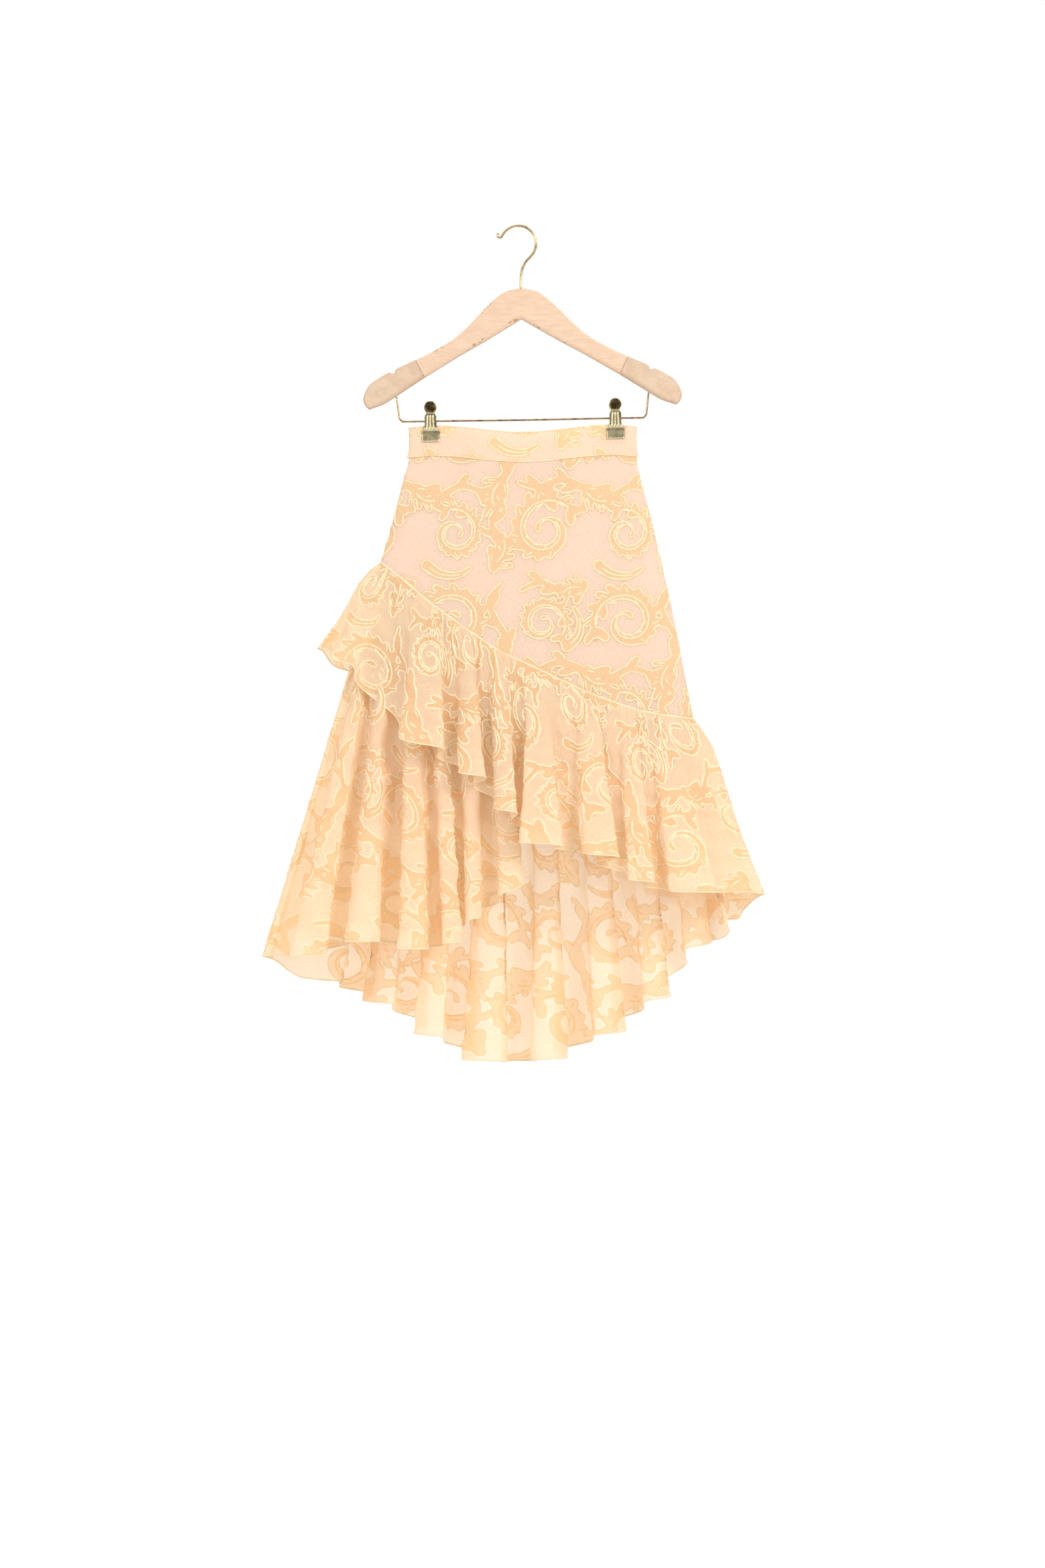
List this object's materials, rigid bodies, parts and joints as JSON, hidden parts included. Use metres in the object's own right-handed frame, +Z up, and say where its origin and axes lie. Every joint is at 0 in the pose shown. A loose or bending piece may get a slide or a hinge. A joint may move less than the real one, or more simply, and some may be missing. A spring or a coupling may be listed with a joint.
{
  "type": "ruffled high-low skirt on a wooden clip hanger",
  "caption": "Sheer jacquard skirt with a fitted body, a slip and slanting high-low ruffles, clipped by its waistband to a wooden hanger.",
  "frame": {"origin": "top of the inside of the hanger's hook, where it rests on the rail", "axes": "+X to the right as seen from the skirt's front, +Y to the back along the rail, +Z up"},
  "size_m": [0.6911, 0.18, 1.1612],
  "materials": {
    "organza": "sheer woven, cream and pale gold",
    "lining": "plain smooth weave, peach",
    "painted_wood": "satin paint, pale peach",
    "flocked_grip": "matte grip coat, tan",
    "brass": "polished, pale"
  },
  "bodies": {
    "root": {"hook": "brass", "hanger_arms": "painted_wood", "hanger_grip_left": "flocked_grip", "hanger_grip_right": "flocked_grip", "hanger_bar": "brass", "clip_left_front": "brass", "clip_left_back": "brass", "clip_left_spring": "brass", "clip_right_front": "brass", "clip_right_back": "brass", "clip_right_spring": "brass", "waistband_front": "organza", "waistband_back": "organza", "body_front": "organza", "body_back": "organza", "lining_front": "lining", "lining_back": "lining", "upper_ruffle_front": "organza", "upper_ruffle_back": "organza", "lower_ruffle_front": "organza", "lower_ruffle_back": "organza"}
  },
  "joints": []
}
